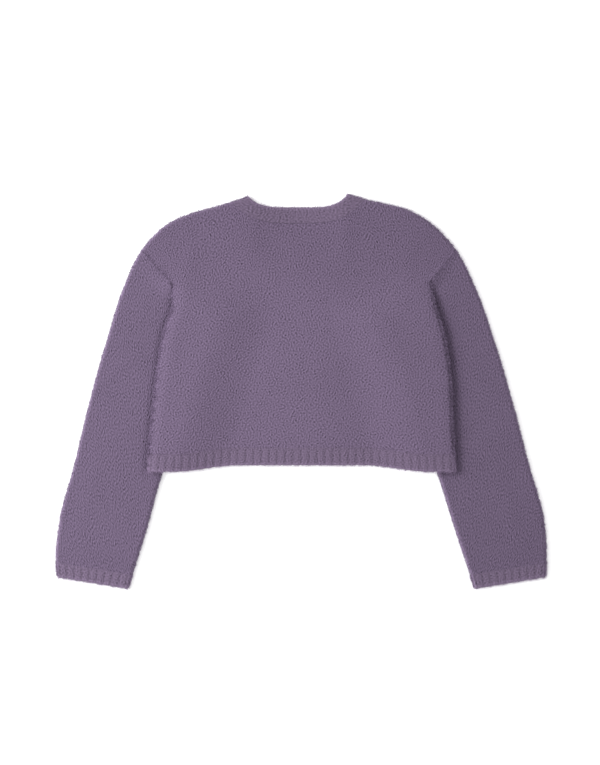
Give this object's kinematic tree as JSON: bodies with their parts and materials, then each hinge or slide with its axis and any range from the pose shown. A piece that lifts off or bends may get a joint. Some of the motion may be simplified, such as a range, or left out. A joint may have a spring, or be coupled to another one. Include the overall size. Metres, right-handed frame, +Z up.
{
  "type": "cropped knit sweater",
  "caption": "Cropped crew-neck pullover in thick brushed knit, laid flat with its back up and both long sleeves turned down beside the body; ribbed neck, cuffs and hem.",
  "frame": {"origin": "middle of the garment's outline on the surface it lies on", "axes": "+X across the garment towards the sleeve on the right with the back facing up, +Y towards the neck, +Z up from the surface, out of the garment's back"},
  "size_m": [0.7604, 0.6123, 0.0201],
  "materials": {
    "brushed_knit": "fluffy brushed loop knit, matt, dusty lilac",
    "ribbed_knit": "ribbed knit with a short nap, matt, dusty lilac"
  },
  "bodies": {
    "root": {"back_panel": "brushed_knit", "front_panel": "brushed_knit", "sleeve_left": "brushed_knit", "sleeve_right": "brushed_knit", "neckband": "ribbed_knit", "hem_rib_back": "ribbed_knit", "hem_rib_front": "ribbed_knit", "cuff_left": "ribbed_knit", "cuff_right": "ribbed_knit"}
  },
  "joints": []
}
